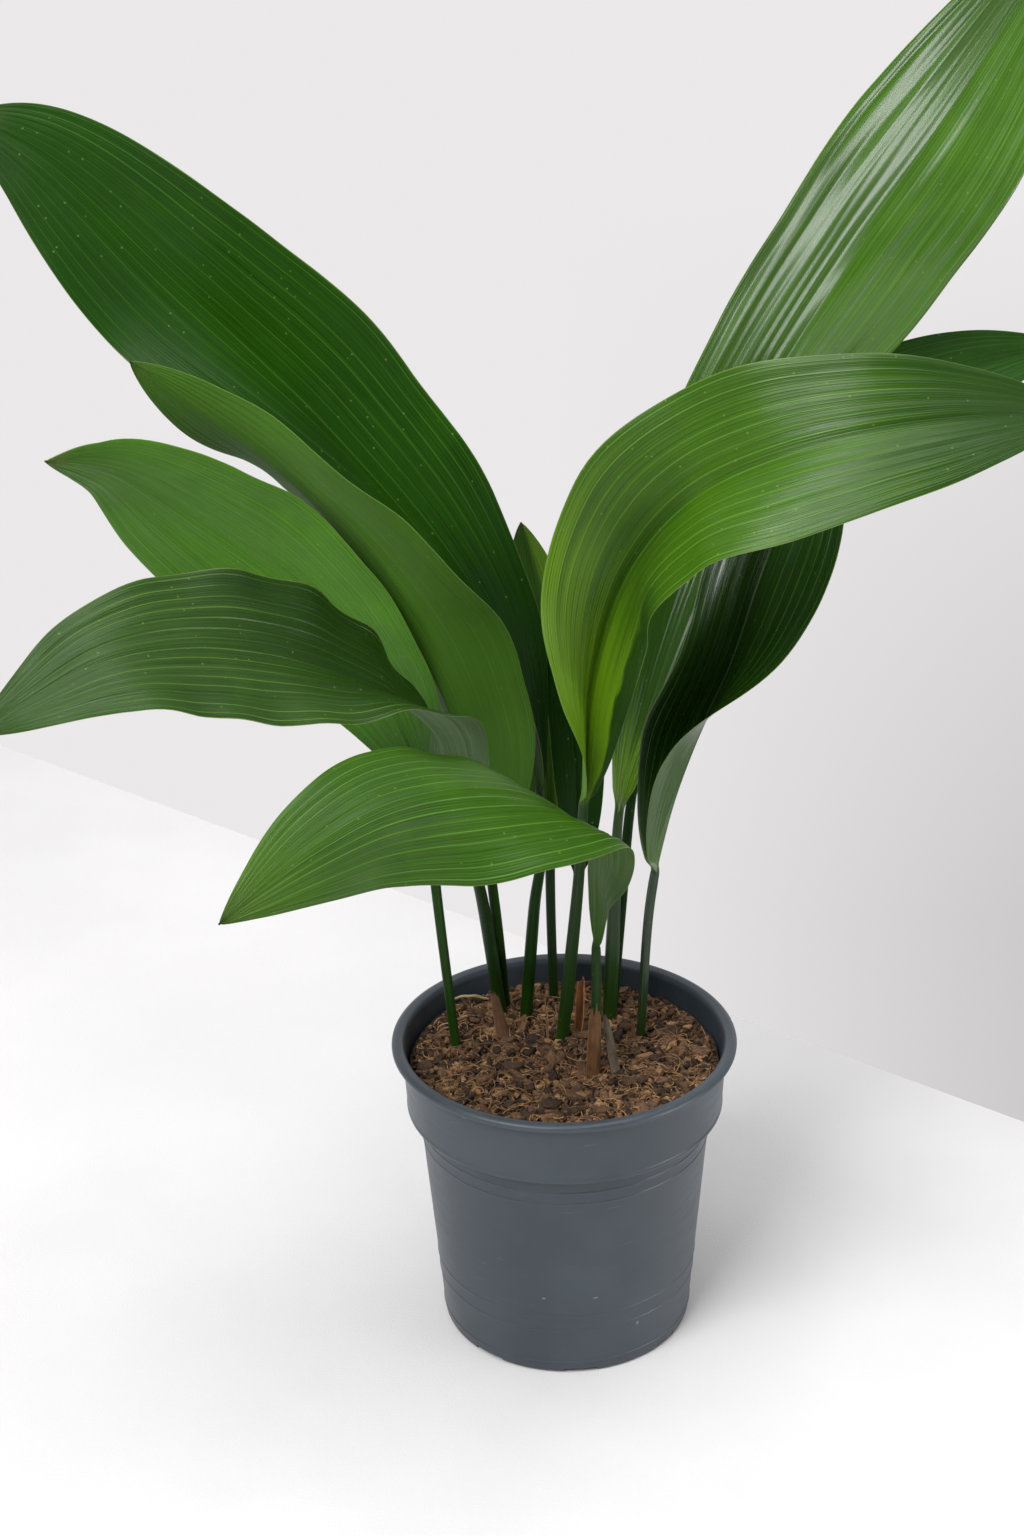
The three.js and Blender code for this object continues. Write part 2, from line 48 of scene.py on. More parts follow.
# ---- The leaves: the same lines and shapes as the frame's, with finer surfaces ----
# line: stalk and midrib from the soil to the tip; face: the way the upper side looks;
# stalk: its length; half: greatest half width; rise and fall: powers of the outline;
# roll, lift, curl in degrees; wave: count, depth and phase of the margin's waves; stem: the
# stalk's radius at the soil; pucker: depth of the bulges between veins; look: from LOOKS.
LEAVES = {
    "leaf_high_left": dict(
        line=[(-19, 37, 145), (-14, 40, 205), (-9, 42, 255), (-35, 44, 354), (-101, 46, 448),
              (-171, 48, 521), (-226, 51, 576), (-258, 52, 596)],
        face=(0.1, -1, 0.3), stalk=115, half=48, rise=1.0, fall=0.68,
        roll=(70, 52, 32, 0, 0), lift=(40, 34, 20, 12), curl=(12, 3), wave=(5, 1.6, 0.4),
        stem=3.3, pucker=0.55, look="deep"),
    "leaf_curled_tip": dict(
        line=[(-54, 11, 145), (-61, 8, 234), (-65, 20, 282), (-81, 21, 330), (-118, 9, 387),
              (-157, -11, 428), (-187, -35, 458), (-202, -46, 466), (-216, -58, 471)],
        face=(0, -1, 0.5), stalk=118, half=42, rise=1.08, fall=0.88,
        roll=(-20, -25, -36, -44, -70), lift=(16, 23, 11, -6), curl=(-7, -14), wave=(5, 1.2, 2.0),
        stem=2.4, pucker=0.7, look="fresh"),
    "leaf_keeled": dict(
        line=[(-30, 50, 145), (-34, 40, 211), (-41, 28, 278), (-53, 17, 325), (-72, 8, 372),
              (-102, -2, 423), (-129, -10, 455), (-154, -15, 478), (-183, -22, 504)],
        face=(0.3, 1, 0.3), stalk=86, half=46, rise=0.8, fall=0.85,
        roll=(-12, -15, -30, -30, 5), lift=(24, 30, 14, 3), curl=(0, 0), wave=(5, 1.6, 1.0),
        stem=2.8, pucker=0.5, look="under"),
    "leaf_low_left": dict(
        line=[(-32, 43, 145), (-41, 33, 222), (-48, 14, 261), (-52, -5, 299), (-56, -26, 329),
              (-70, -43, 352), (-94, -61, 373), (-125, -87, 394), (-156, -113, 407),
              (-183, -137, 411), (-208, -150, 402), (-234, -157, 388)],
        face=(0, -1, 0.6), stalk=125, half=38, rise=1.0, fall=0.88,
        roll=(190, 100, 34, 14, 14), lift=(30, 22, 6, 4), curl=(0, 0), wave=(8, 1.8, 0.0),
        stem=3.2, pucker=0.6, look="grey"),
    "leaf_front": dict(
        line=[(15, -18, 145), (16, -15, 182), (16, -14, 216), (16, -20, 245), (15, -32, 271),
              (7, -50, 295), (-10, -77, 319), (-40, -108, 336), (-72, -133, 340),
              (-99, -152, 333), (-124, -168, 321), (-139, -176, 312)],
        face=(0, -1, 0.8), stalk=62, half=38.5, rise=0.95, fall=0.9,
        roll=(110, 90, 31, -15, -30), lift=(10, 10, -14, 10), curl=(-15, -22), wave=(6, 1.4, 0.8),
        stem=2.8, pucker=0.5, look="front"),
    "leaf_high_right": dict(
        line=[(23, 32, 145), (26, 40, 210), (29, 46, 260), (44, 55, 320), (67, 66, 390),
              (96, 77, 458), (136, 86, 522), (176, 94, 577), (211, 104, 630), (240, 110, 677)],
        face=(0, -1, 0.4), stalk=100, half=49, rise=1.1, fall=0.7,
        roll=(13, 22, 40, 20, 25), lift=(11, 0, 15, 26), curl=(0, -5), wave=(5, 1.4, 0.3),
        stem=3.6, pucker=1.0, look="glossy"),
    "leaf_arching": dict(
        line=[(-1, 12, 145), (8, 14, 235), (11, 14, 282), (14, 8, 337), (31, -14, 401),
              (58, -42, 445), (93, -64, 470), (130, -72, 482), (173, -66, 486), (218, -52, 484)],
        face=(-0.2, -1, 0.5), stalk=124, half=43, rise=0.96, fall=0.84,
        roll=(48, 10, -20, -12, -14), lift=(66, 46, 16, 12), curl=(4, -16), wave=(6, 1.6, 2.6),
        stem=3.2, pucker=0.6, look="bright"),
    "leaf_low_right": dict(
        line=[(38, 15, 145), (43, 23, 218), (50, 27, 254), (64, 36, 294), (82, 42, 336),
              (94, 46, 374), (108, 49, 414), (118, 52, 443), (124, 62, 467)],
        face=(-0.2, -1, 0.5), stalk=83, half=41, rise=1.03, fall=0.84,
        roll=(-60, -32, 5, 14, 12), lift=(60, 60, 32, 24), curl=(20, 22), wave=(4, 1.2, 0.5),
        stem=2.4, pucker=0.9, look="night"),
    "leaf_back_right": dict(
        line=[(25, 46, 145), (30, 50, 205), (35, 62, 255), (45, 76, 298), (64, 90, 343),
              (90, 102, 386), (123, 110, 419), (161, 115, 441), (198, 118, 456), (246, 120, 468)],
        face=(-0.2, -1, 0.6), stalk=105, half=32, rise=1.05, fall=0.8,
        roll=(0, 5, 10, 15, 15), lift=(30, 24, 20, 14), curl=(5, 5), wave=(5, 1.2, 1.5),
        stem=2.6, pucker=0.6, look="deep"),
    "leaf_back": dict(
        line=[(-5, 55, 145), (-6, 64, 198), (-6, 82, 246), (-7, 100, 282), (-9, 118, 319),
              (-14, 132, 349), (-19, 142, 374)],
        face=(0, -1, 0.3), stalk=75, half=20, rise=0.95, fall=0.8,
        roll=(0, 0, 0, 0, 0), lift=(24, 20, 16, 12), curl=(0, 0), wave=(3, 0.8, 0.0),
        stem=2.4, pucker=0.4, look="shy"),
    "leaf_young": dict(
        line=[(2, 36, 145), (7, 40, 210), (9, 44, 242), (9, 50, 271), (7, 56, 301),
              (1, 60, 327), (-7, 62, 347)],
        face=(0, -1, 0.3), stalk=72, half=14, rise=0.9, fall=0.75,
        roll=(0, 0, 0, 0, 0), lift=(28, 24, 20, 12), curl=(0, 0), wave=(3, 0.6, 1.0),
        stem=2.4, pucker=0.3, look="deep"),
}
HOLE_DEPTH = 24       # how far a stalk goes into the soil
STALK_RADIUS = 2.5    # that the blade grows from
TIP_RADIUS = 0.45
BLADE_THICKNESS = 0.5
KEEL = 1.1, 1.7       # the midrib on the underside: height and half width
GROOVE = 0.55, 1.3    # and its groove on the upper side
CHANNEL = 0.8, 0.35   # along a stalk: depth, and half width as a share
THIN_EDGE = 0.45      # a margin's thickness, as a share of the blade's
RIBS, RIB_DEPTH = 13, 0.13
RUFFLE = 0.18         # fine waves of the margin
WANDER, NICKS = 0.022, 0.006   # unevenness of the outline, as shares of the half width
COLUMNS = 73          # points across one face of a blade
BLADE_STEP = 3.0      # between rows along a blade
STALK_STEP = 5.0

# ---- Pot and soil ----
# As the frame has them. Drains: notches through the foot ring and holes through the floor,
# from the angle `first` on.
POT = dict(height=157.0, rim=85.0, lip=5.0, collar_top=79.8, collar_foot=78.2, collar_z=121.0,
           body_top=72.6, foot=62.5, wall=1.6, floor=4.0, corner=1.4)
DRAINS = dict(count=8, width=17.0, height=2.4, inner=46.0, hole=4.0, hole_at=53.0, first=-84.0)
SOIL_EDGE = 144.0
SOIL_CROWN = 2.5
SOIL_LUMP = 1.3

# Finer than the frame.
MOULD_LINES = (27.0, 36.0, 105.0, 111.5)   # heights of the raised lines round the body
MOULD_LINE = ((-0.7, 0.0), (-0.25, 0.28), (0.25, 0.28), (0.7, 0.0))   # height and relief
FOOT_BEAD = ((5.6, 0.0), (6.0, 0.35), (6.8, 0.35), (7.4, 0.0))
SOIL_CLEARANCE = 0.35
CRUMBS = (0.9, 0.9, 11), (0.55, 2.6, 12)   # height, how fine, seed
# Chips: how many, length range, width share, depth share, steepest lean, tone range.
CHIPS = (
    (330, (6.0, 12.0), (0.42, 0.8), (0.16, 0.3), 0.95, (0.05, 0.90)),
    (1150, (3.2, 7.0), (0.45, 0.9), (0.22, 0.45), 1.2, (0.0, 0.95)),
    (3200, (1.2, 3.2), (0.45, 0.95), (0.35, 0.8), 1.5, (0.0, 0.9)),
)
CHIP_RINGS = ((-1.0, 0.82), (-0.1, 1.0), (0.7, 0.92), (1.0, 0.62))   # level, width
FIBRES = 760
FIBRE_BEND = 1.5
FIBRE_LIMIT = POT["collar_foot"] - 5.0   # no fibre gets nearer the wall
STALK_CLEARANCE = 3.6   # from a stalk's middle to the nearest chip's


# ---- Small helpers ----

def smoothstep(x, low, high):
    f = np.clip((x - low) / (high - low), 0, 1)
    return f * f * (3 - 2 * f)


def mix(a, b, f):
    return a + (b - a) * f


def bell(x, height, width):
    return height * np.exp(-(x / width) ** 2)


def unit(v):
    return v / np.linalg.norm(v, axis=-1, keepdims=True)


def along(values, t):
    """A smooth value along 0..1 through evenly spaced stations."""
    v = np.asarray(values, float)
    last = len(v) - 1
    at = np.minimum(np.floor(t * last).astype(int), last - 1)
    f = t * last - at
    a, b, c, d = (v[np.clip(at + k, 0, last)] for k in (-1, 0, 1, 2))
    return 0.5 * (2 * b + (c - a) * f + (2 * a - 5 * b + 4 * c - d) * f ** 2
                  + (3 * b - a - 3 * c + d) * f ** 3)


def ripple(x, y, seed, waves=7, ratio=1.35):
    """Smooth repeatable noise of about -1..1 from a sum of waves."""
    rng = np.random.default_rng(SEED + seed)
    total = np.zeros(np.broadcast(x, y).shape)
    size = 0.0
    for k in range(waves):
        turn, phase = rng.uniform(0, 2 * math.pi, 2)
        rate = ratio ** k
        height = rate ** -0.6
        total = total + height * np.sin(rate * (x * math.cos(turn) + y * math.sin(turn)) + phase)
        size += height * height / 2
    return total / (2 * math.sqrt(size))


def spline(points, per_span=24):
    """Centripetal Catmull-Rom through the points: places, headings, and distances."""
    p = np.asarray(points, float)
    p = np.vstack([2 * p[0] - p[1], p, 2 * p[-1] - p[-2]])
    pieces = []
    for i in range(len(p) - 3):
        a, b, c, d = p[i:i + 4]
        knots = [0.0]
        for start, end in ((a, b), (b, c), (c, d)):
            knots.append(knots[-1] + math.sqrt(np.linalg.norm(end - start)))
        k0, k1, k2, k3 = knots
        t = np.linspace(k1, k2, per_span, endpoint=False)[:, None]
        ab = (k1 - t) / (k1 - k0) * a + (t - k0) / (k1 - k0) * b
        bc = (k2 - t) / (k2 - k1) * b + (t - k1) / (k2 - k1) * c
        cd = (k3 - t) / (k3 - k2) * c + (t - k2) / (k3 - k2) * d
        abc = (k2 - t) / (k2 - k0) * ab + (t - k0) / (k2 - k0) * bc
        bcd = (k3 - t) / (k3 - k1) * bc + (t - k1) / (k3 - k1) * cd
        pieces.append((k2 - t) / (k2 - k1) * abc + (t - k1) / (k2 - k1) * bcd)
    pieces.append(p[-2:-1])
    line = np.vstack(pieces)
    steps = np.linalg.norm(np.diff(line, axis=0), axis=1)
    run = np.concatenate([[0], np.cumsum(steps)])
    return line, unit(np.gradient(line, run, axis=0)), run


def sampled(line, run, places):
    return np.stack([np.interp(places, run, line[:, k]) for k in range(3)], -1)


def add_object(name, data):
    made = bpy.data.objects.new(name, data)
    bpy.context.scene.collection.objects.link(made)
    return made


def mesh_of(name, points, faces):
    """A mesh from points in mm."""
    mesh = bpy.data.meshes.new(name)
    mesh.from_pydata((np.asarray(points) * MM).tolist(), [], faces)
    mesh.update()
    return mesh


def dress(piece, material, node, sharp=None):
    """Gives a piece its shading, material and slot, and sets it in place of its node."""
    mesh = piece.data
    mesh.polygons.foreach_set("use_smooth", [True] * len(mesh.polygons))
    if sharp is not None:
        mesh.set_sharp_from_angle(angle=math.radians(sharp))
    mesh.materials.clear()
    mesh.materials.append(material)
    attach(piece, "root")
    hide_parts(node)


def mesh_piece(name, points, faces, material, node, masks, uv=None, sharp=None):
    """A piece of the plant with values on its points for its material to read."""
    mesh = mesh_of(name, points, faces)
    if uv is not None:
        layer = mesh.uv_layers.new(name="grain")
        corners = np.empty(len(mesh.loops), dtype=np.int32)
        mesh.loops.foreach_get("vertex_index", corners)
        layer.data.foreach_set("uv", np.asarray(uv, np.float32)[corners].ravel())
    for label, values in masks.items():
        attribute = mesh.attributes.new(label, "FLOAT", "POINT")
        attribute.data.foreach_set("value", np.asarray(values, np.float32))
    dress(add_object(name, mesh), material, node, sharp)


def sheet_piece(name, shells, u, t, masks, material):
    """A thin closed sheet from its two faces, each a grid of points, joined at the rim.

    u and t lie across and along it; a mask is one grid for both faces, or a pair of grids.
    """
    rows, columns = np.broadcast(u, t).shape
    size = rows * columns
    faces = grid_faces(rows, columns) + grid_faces(rows, columns, size, flip=True)
    for r in range(rows - 1):
        a, b = r * columns, (r + 1) * columns
        faces.append((a, b, b + size, a + size))
        a, b = a + columns - 1, b + columns - 1
        faces.append((b, a, a + size, b + size))
    last = (rows - 1) * columns
    for c in range(columns - 1):
        faces.append((c + 1, c, c + size, c + 1 + size))
        faces.append((last + c, last + c + 1, last + c + 1 + size, last + c + size))

    def both(value):
        pair = value if isinstance(value, tuple) else (value, value)
        return np.concatenate([np.broadcast_to(v, (rows, columns)).ravel() for v in pair])

    points = np.vstack([shell.reshape(-1, 3) for shell in shells])
    mesh_piece(name, points, faces, material, name, {key: both(v) for key, v in masks.items()},
               np.stack([both(u), both(t)], -1))


def grid_faces(rows, columns, start=0, closed=False, flip=False):
    """Quads of a grid of points laid out row by row."""
    faces = []
    for r in range(rows - 1):
        for c in range(columns if closed else columns - 1):
            a = start + r * columns + c
            b = start + r * columns + (c + 1) % columns
            quad = (a, b, b + columns, a + columns)
            faces.append(quad[::-1] if flip else quad)
    return faces


# ---- Materials ----

class Nodes:
    """A node tree built by short calls; each returns an output socket."""

    def __init__(self, tree):
        self.tree = tree
        tree.nodes.clear()

    def put(self, socket, value):
        """Links a socket or sets a number or a colour."""
        if isinstance(value, bpy.types.NodeSocket):
            self.tree.links.new(value, socket)
        elif isinstance(value, tuple) and socket.type == "RGBA":
            socket.default_value = (*value, 1.0)
        else:
            socket.default_value = value

    def node(self, kind, **inputs):
        node = self.tree.nodes.new(kind)
        for key, value in inputs.items():
            self.put(node.inputs[key.replace("_", " ")], value)
        return node

    def math(self, operation, *values, clamp=False):
        node = self.node("ShaderNodeMath")
        node.operation = operation
        node.use_clamp = clamp
        for socket, value in zip(node.inputs, values):
            self.put(socket, value)
        return node.outputs[0]

    def times(self, a, b):
        return self.math("MULTIPLY", a, b)

    def plus(self, a, b, clamp=False):
        return self.math("ADD", a, b, clamp=clamp)

    def split(self, vector):
        return self.node("ShaderNodeSeparateXYZ", Vector=vector).outputs

    def join(self, x, y):
        return self.node("ShaderNodeCombineXYZ", X=x, Y=y).outputs[0]

    def ramp(self, value, low, high, to_low=0.0, to_high=1.0, kind="SMOOTHSTEP"):
        node = self.node("ShaderNodeMapRange")
        node.interpolation_type = kind
        for key, given in (("Value", value), ("From Min", low), ("From Max", high), ("To Min", to_low),
                           ("To Max", to_high)):
            self.put(node.inputs[key], given)
        return node.outputs["Result"]

    def blend(self, amount, low, high):
        """A colour between two colours."""
        node = self.node("ShaderNodeMix")
        node.data_type = "RGBA"
        for k, value in ((0, amount), (6, low), (7, high)):
            self.put(node.inputs[k], value)
        return node.outputs[2]

    def tint(self, color, amount, share, other):
        """The colour, turned towards another by a share of the amount."""
        return self.blend(self.times(amount, share), color, other)


class Paint(Nodes):
    """A material with one shader."""

    def __init__(self, name):
        self.material = bpy.data.materials.new(name)
        self.material.use_nodes = True
        super().__init__(self.material.node_tree)
        self.shader = self.node("ShaderNodeBsdfPrincipled")
        self.node("ShaderNodeOutputMaterial", Surface=self.shader.outputs[0])

    def mask(self, name):
        node = self.node("ShaderNodeAttribute")
        node.attribute_name = name
        return node.outputs["Fac"]

    def uv(self):
        node = self.node("ShaderNodeUVMap")
        node.uv_map = "grain"
        return node.outputs[0]

    def place(self):
        return self.node("ShaderNodeTexCoord").outputs["Object"]

    def scaled(self, vector, factors):
        node = self.node("ShaderNodeVectorMath")
        node.operation = "MULTIPLY"
        self.put(node.inputs[0], vector)
        self.put(node.inputs[1], factors)
        return node.outputs[0]

    def noise(self, vector, scale, detail=3.0, rough=0.5, distortion=0.0):
        return self.node("ShaderNodeTexNoise", Vector=vector, Scale=scale, Detail=detail,
                         Roughness=rough, Distortion=distortion).outputs["Fac"]

    def cells(self, vector, scale):
        return self.node("ShaderNodeTexVoronoi", Vector=vector, Scale=scale).outputs["Distance"]

    def finish(self, color, roughness, height, distance, **plain):
        bump = self.node("ShaderNodeBump", Height=height, Distance=distance, Strength=1.0)
        for key, value in {"Base Color": color, "Roughness": roughness, "Normal": bump.outputs[0],
                           **plain}.items():
            self.put(self.shader.inputs[key], value)
        return self.material


# Greens of a blade, linear: its body, its darker shade, its lighter patches; then how rough
# its skin is, how much it mirrors, how much of a second, waxy skin lies on it, and how
# clearly its veins show.
LOOKS = {
    "deep": dict(body=(0.010, 0.050, 0.0010), dark=(0.004, 0.022, 0.001), light=(0.024, 0.090, 0.003),
                 rough=0.34, sheen=0.15, wax=0.0, vein=0.24),
    "fresh": dict(body=(0.048, 0.160, 0.0040), dark=(0.018, 0.074, 0.002), light=(0.088, 0.235, 0.008),
                  rough=0.34, sheen=0.22, wax=0.0, vein=0.46),
    "front": dict(body=(0.026, 0.082, 0.0022), dark=(0.010, 0.040, 0.002), light=(0.054, 0.140, 0.005),
                  rough=0.36, sheen=0.28, wax=0.0, vein=0.62),
    "bright": dict(body=(0.034, 0.096, 0.0026), dark=(0.012, 0.044, 0.002), light=(0.064, 0.152, 0.006),
                   rough=0.34, sheen=0.30, wax=0.0, vein=0.56),
    "under": dict(body=(0.036, 0.122, 0.0020), dark=(0.014, 0.056, 0.001), light=(0.062, 0.170, 0.005),
                  rough=0.46, sheen=0.16, wax=0.0, vein=0.40),
    "grey": dict(body=(0.019, 0.056, 0.0040), dark=(0.008, 0.027, 0.002), light=(0.038, 0.090, 0.012),
                 rough=0.36, sheen=0.32, wax=0.0, vein=0.56),
    "glossy": dict(body=(0.046, 0.132, 0.0060), dark=(0.020, 0.068, 0.003), light=(0.092, 0.205, 0.016),
                   rough=0.36, sheen=0.16, wax=0.55, vein=0.45),
    "night": dict(body=(0.009, 0.038, 0.0015), dark=(0.004, 0.016, 0.001), light=(0.020, 0.074, 0.003),
                  rough=0.30, sheen=0.45, wax=0.5, vein=0.35),
    "shy": dict(body=(0.018, 0.058, 0.0025), dark=(0.008, 0.028, 0.001), light=(0.034, 0.086, 0.005),
                rough=0.40, sheen=0.30, wax=0.0, vein=0.35),
}
VEIN = (0.105, 0.245, 0.030)
LIME = (0.135, 0.270, 0.006)
UNDERSIDE = (0.062, 0.150, 0.022)
STALK = (0.007, 0.034, 0.003)
STALK_FOOT = (0.016, 0.052, 0.005)
DRY = (0.190, 0.200, 0.080)
MARGIN = (0.180, 0.280, 0.060)


def leaf_material(name, look):
    """Waxy green blade: veins run from stalk to tip, close up towards both, and catch the light."""
    paint = Paint(name)
    across, length, _ = paint.split(paint.uv())[:3]
    wobble = paint.noise(paint.join(paint.times(across, 3.0), paint.times(length, 7.0)), 1.0, 2.0)
    across = paint.plus(across, paint.times(paint.math("SUBTRACT", wobble, 0.5), 0.02))

    def lines(count, width, drift):
        """1 on each of `count` veins across half a blade, fading in and out along them."""
        wave = paint.math("PINGPONG", paint.times(across, count), 0.5)
        near = paint.ramp(wave, 0.0, width, 1.0, 0.0)
        seed = paint.math("FLOOR", paint.plus(paint.times(across, count), 0.5))
        strength = paint.noise(paint.join(paint.times(seed, 3.7), paint.times(length, drift)),
                               1.0, 1.0)
        return paint.times(near, paint.ramp(strength, 0.22, 0.62))

    veins = lines(7.5, 0.10, 3.0)
    fine = lines(29.0, 0.24, 9.0)
    threads = lines(19.0, 0.20, 5.0)
    streaks = paint.noise(paint.join(paint.times(across, 34.0), paint.times(length, 2.2)),
                          1.0, 4.0, 0.62)
    cloud = paint.noise(paint.place(), 17.0, 3.0, 0.55)
    patch = paint.noise(paint.place(), 42.0, 2.0, 0.5)
    body = paint.blend(paint.ramp(cloud, 0.30, 0.62, 0.55, 1.0), look["dark"], look["body"])
    body = paint.tint(body, paint.ramp(streaks, 0.46, 0.78), 0.40, look["light"])
    body = paint.tint(body, paint.ramp(patch, 0.52, 0.74), 0.16, look["light"])
    body = paint.tint(body, fine, 0.30, look["light"])
    body = paint.tint(body, threads, 0.45, look["dark"])
    body = paint.tint(body, veins, look["vein"], VEIN)
    lime_body = paint.blend(paint.times(fine, 0.35), LIME, look["light"])
    # lime streaks, and painted light on some blades
    body = paint.blend(paint.mask("lime_and_lit"), body, lime_body)
    # painted shade: the blade turns to its dark green where it lies in shadow
    body = paint.blend(paint.mask("shade"), body, look["dark"])
    under = paint.blend(paint.times(streaks, 0.5), UNDERSIDE, look["light"])
    body = paint.tint(body, paint.mask("under"), 0.55, under)
    margin = paint.ramp(paint.math("ABSOLUTE", across), 0.985, 1.0)
    body = paint.tint(body, margin, 0.45, MARGIN)
    stalk = paint.blend(paint.mask("foot"), STALK, STALK_FOOT)
    stalk = paint.tint(stalk, streaks, 0.35, look["body"])
    body = paint.blend(paint.mask("stalk"), body, stalk)
    speck = paint.times(paint.ramp(paint.cells(paint.place(), 150.0), 0.05, 0.10, 1.0, 0.0), 0.35)
    body = paint.blend(speck, body, MARGIN)
    body = paint.blend(paint.mask("dry"), body, DRY)
    grain = paint.noise(paint.join(paint.times(across, 120.0), paint.times(length, 60.0)), 1.0, 2.0)
    ridge = paint.plus(paint.times(veins, 0.7), paint.times(fine, 0.35))
    height = paint.plus(ridge, paint.plus(paint.times(streaks, 1.1), paint.times(grain, 0.16)))
    rough = paint.plus(paint.ramp(streaks, 0.3, 0.8, -0.05, 0.09),
                       paint.ramp(cloud, 0.3, 0.7, look["rough"] + 0.04, look["rough"] - 0.04))
    rough = paint.plus(rough, paint.times(paint.mask("under"), 0.16))
    rough = paint.plus(rough, paint.times(paint.mask("dry"), 0.25), clamp=True)
    return paint.finish(body, rough, height, 0.00022, IOR=1.45,
                        **{"Specular IOR Level": look["sheen"], "Coat Weight": look["wax"],
                           "Coat Roughness": 0.22})


# Small pale scuffs on the front of the pot, in metres: X, height, half width, half height.
SCUFFS = (
    (-0.0112, 0.0470, 0.0012, 0.0006),
    (0.0140, 0.0468, 0.0015, 0.0005),
    (0.0347, 0.0240, 0.0007, 0.0014),
    (-0.0475, 0.1500, 0.0022, 0.0011),
)


def scuffs(paint, place):
    """1 on each scuff of the pot, broken up by a fine noise, and 0 elsewhere."""
    x, y, z = paint.split(place)[:3]
    front = paint.ramp(y, -0.030, -0.010, 1.0, 0.0)
    grit = paint.noise(place, 1500.0, 2.0, 0.6)
    total = None
    for middle_x, middle_z, wide, high in SCUFFS:
        across = paint.times(paint.math("SUBTRACT", x, middle_x), 1 / wide)
        upwards = paint.times(paint.math("SUBTRACT", z, middle_z), 1 / high)
        far = paint.plus(paint.times(across, across), paint.times(upwards, upwards))
        spot = paint.ramp(paint.plus(far, grit), 0.9, 1.5, 1.0, 0.0)
        total = spot if total is None else paint.math("MAXIMUM", total, spot)
    return paint.times(total, front)


def pot_material():
    """Recycled slate-grey plastic with a satin skin, drag marks and small pale scuffs."""
    paint = Paint("pot")
    place = paint.place()
    cloud = paint.noise(place, 14.0, 4.0, 0.6)
    fine = paint.noise(place, 900.0, 2.0, 0.5)
    drag = paint.noise(paint.scaled(place, (1, 1, 9)), 60.0, 4.0, 0.65)
    color = paint.blend(paint.ramp(cloud, 0.3, 0.72), (0.030, 0.041, 0.052), (0.043, 0.056, 0.069))
    color = paint.tint(color, paint.ramp(drag, 0.55, 0.80), 0.25, (0.066, 0.080, 0.094))
    scratch = paint.ramp(paint.noise(paint.scaled(place, (1, 1, 14)), 24.0, 5.0, 0.7, 1.5), 0.655, 0.675)
    color = paint.tint(color, scratch, 0.14, (0.25, 0.28, 0.30))
    color = paint.tint(color, scuffs(paint, place), 0.45, (0.30, 0.33, 0.35))
    rough = paint.plus(paint.ramp(cloud, 0.3, 0.7, 0.36, 0.46), paint.ramp(drag, 0.4, 0.8, -0.03, 0.06))
    height = paint.plus(paint.times(fine, 0.25), paint.times(drag, 0.6))
    return paint.finish(color, rough, height, 0.00010, IOR=1.47)


def soil_material():
    """Damp bark and coir: each chip has its own brown."""
    paint = Paint("soil")
    place = paint.place()
    tone = paint.mask("tone")
    grain = paint.noise(place, 700.0, 4.0, 0.65)
    fibre = paint.noise(paint.scaled(place, (1, 3, 2)), 380.0, 4.0, 0.7)
    dark = paint.blend(paint.ramp(grain, 0.35, 0.68), (0.008, 0.005, 0.003), (0.060, 0.034, 0.019))
    mid = paint.blend(paint.ramp(fibre, 0.35, 0.66), (0.075, 0.038, 0.020), (0.200, 0.104, 0.052))
    warm = paint.blend(paint.ramp(fibre, 0.35, 0.66), (0.200, 0.100, 0.042), (0.560, 0.330, 0.150))
    color = paint.blend(paint.ramp(tone, 0.05, 0.55), dark, mid)
    color = paint.blend(paint.ramp(tone, 0.62, 1.0), color, warm)
    height = paint.plus(grain, paint.times(fibre, 0.8))
    return paint.finish(color, 0.85, height, 0.0007, IOR=1.4)


def dry_material(name, low, high):
    """Papery dry tissue with fibres along it."""
    paint = Paint(name)
    across, length, _ = paint.split(paint.uv())[:3]
    fibre = paint.noise(paint.join(paint.times(across, 26.0), paint.times(length, 2.4)),
                        1.0, 4.0, 0.65)
    cloud = paint.noise(paint.place(), 170.0, 3.0, 0.6)
    color = paint.blend(paint.ramp(fibre, 0.32, 0.70), low, high)
    color = paint.tint(color, paint.ramp(cloud, 0.45, 0.75), 0.5, tuple(c * 0.45 for c in low))
    color = paint.tint(color, paint.mask("edge"), 0.6, tuple(min(1, c * 1.5) for c in high))
    return paint.finish(color, 0.62, fibre, 0.0005, IOR=1.4)


# ---- Leaves ----

def leaf_rows(length, stalk):
    """Places along a leaf: the buried foot, the stalk, and the blade, closer at its two ends."""
    buried = -HOLE_DEPTH + np.arange(4) * HOLE_DEPTH / 4
    rise = np.linspace(0, stalk, max(4, round(stalk / STALK_STEP)), endpoint=False)
    f = np.linspace(0, 1, round((length - stalk) / BLADE_STEP) + 1)
    blade = stalk + (length - stalk) * mix(f, (1 - np.cos(math.pi * f)) / 2, 0.75)
    return np.concatenate([buried, rise, blade])


